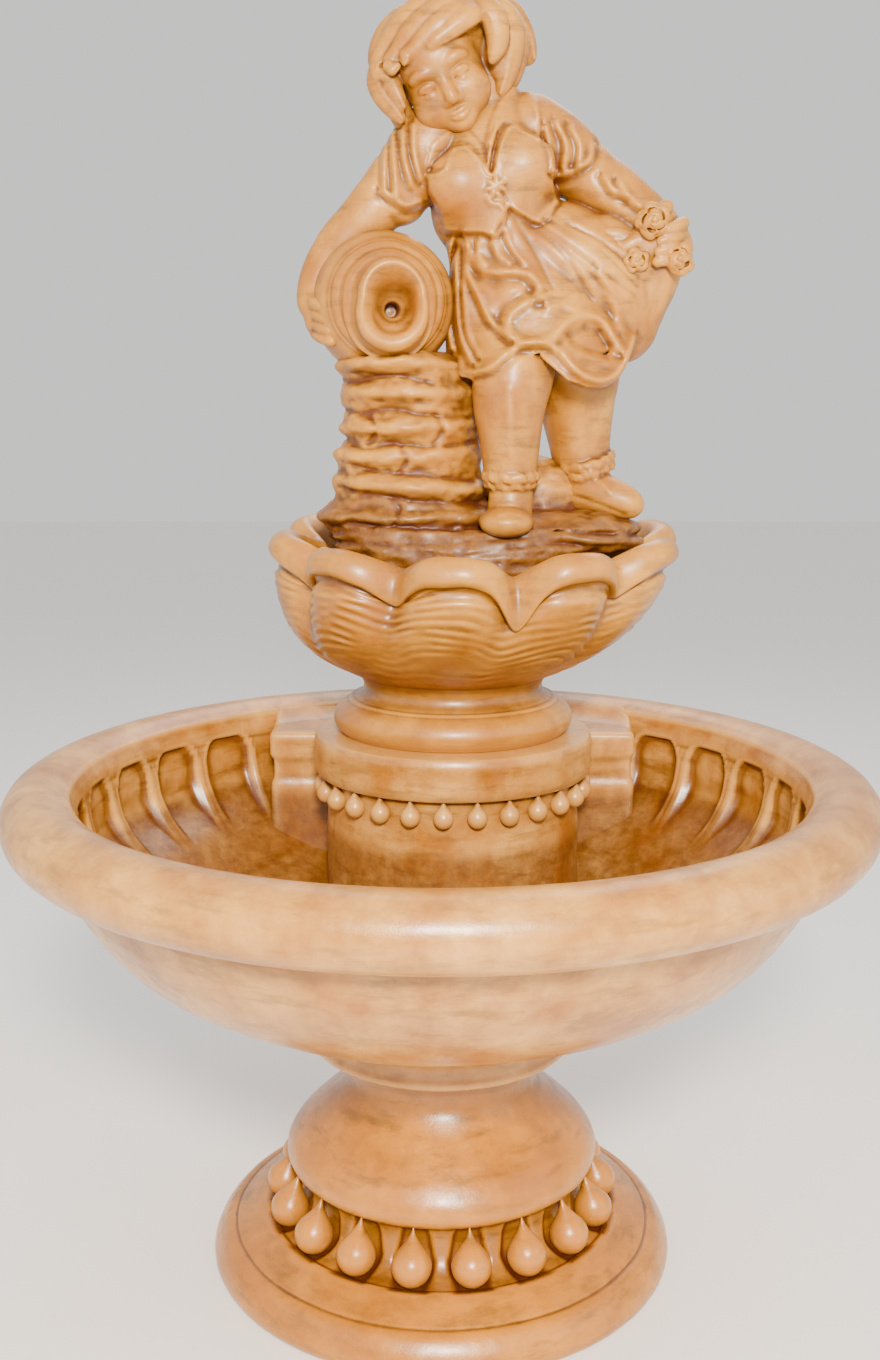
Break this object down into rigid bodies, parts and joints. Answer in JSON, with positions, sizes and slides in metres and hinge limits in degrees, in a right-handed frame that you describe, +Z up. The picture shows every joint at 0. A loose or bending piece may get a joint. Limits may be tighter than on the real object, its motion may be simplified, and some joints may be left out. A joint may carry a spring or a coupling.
{
  "type": "garden fountain with girl statue",
  "caption": "Tiered cast-stone garden fountain: pedestal, round basin, scalloped bowl and a girl tipping a jug onto rocks.",
  "frame": {"origin": "on the ground, under the middle of the plinth's flat underside", "axes": "+Z up; -Y is the front, where the jug and the bowl's spout point; +X is the viewer's right"},
  "size_m": [0.8994, 0.8994, 1.3612],
  "materials": {
    "pedestal": "sealed cast stone, ochre in the recesses, satin",
    "basin": "sealed cast stone, pinkish beige with ochre washes, satin",
    "upper_bowl": "sealed cast stone, ochre in the recesses, satin",
    "statue": "sealed cast stone, ochre in the recesses, satin"
  },
  "bodies": {
    "root": {"pedestal": "pedestal", "basin": "basin", "upper_bowl": "upper_bowl", "statue": "statue"}
  },
  "joints": []
}
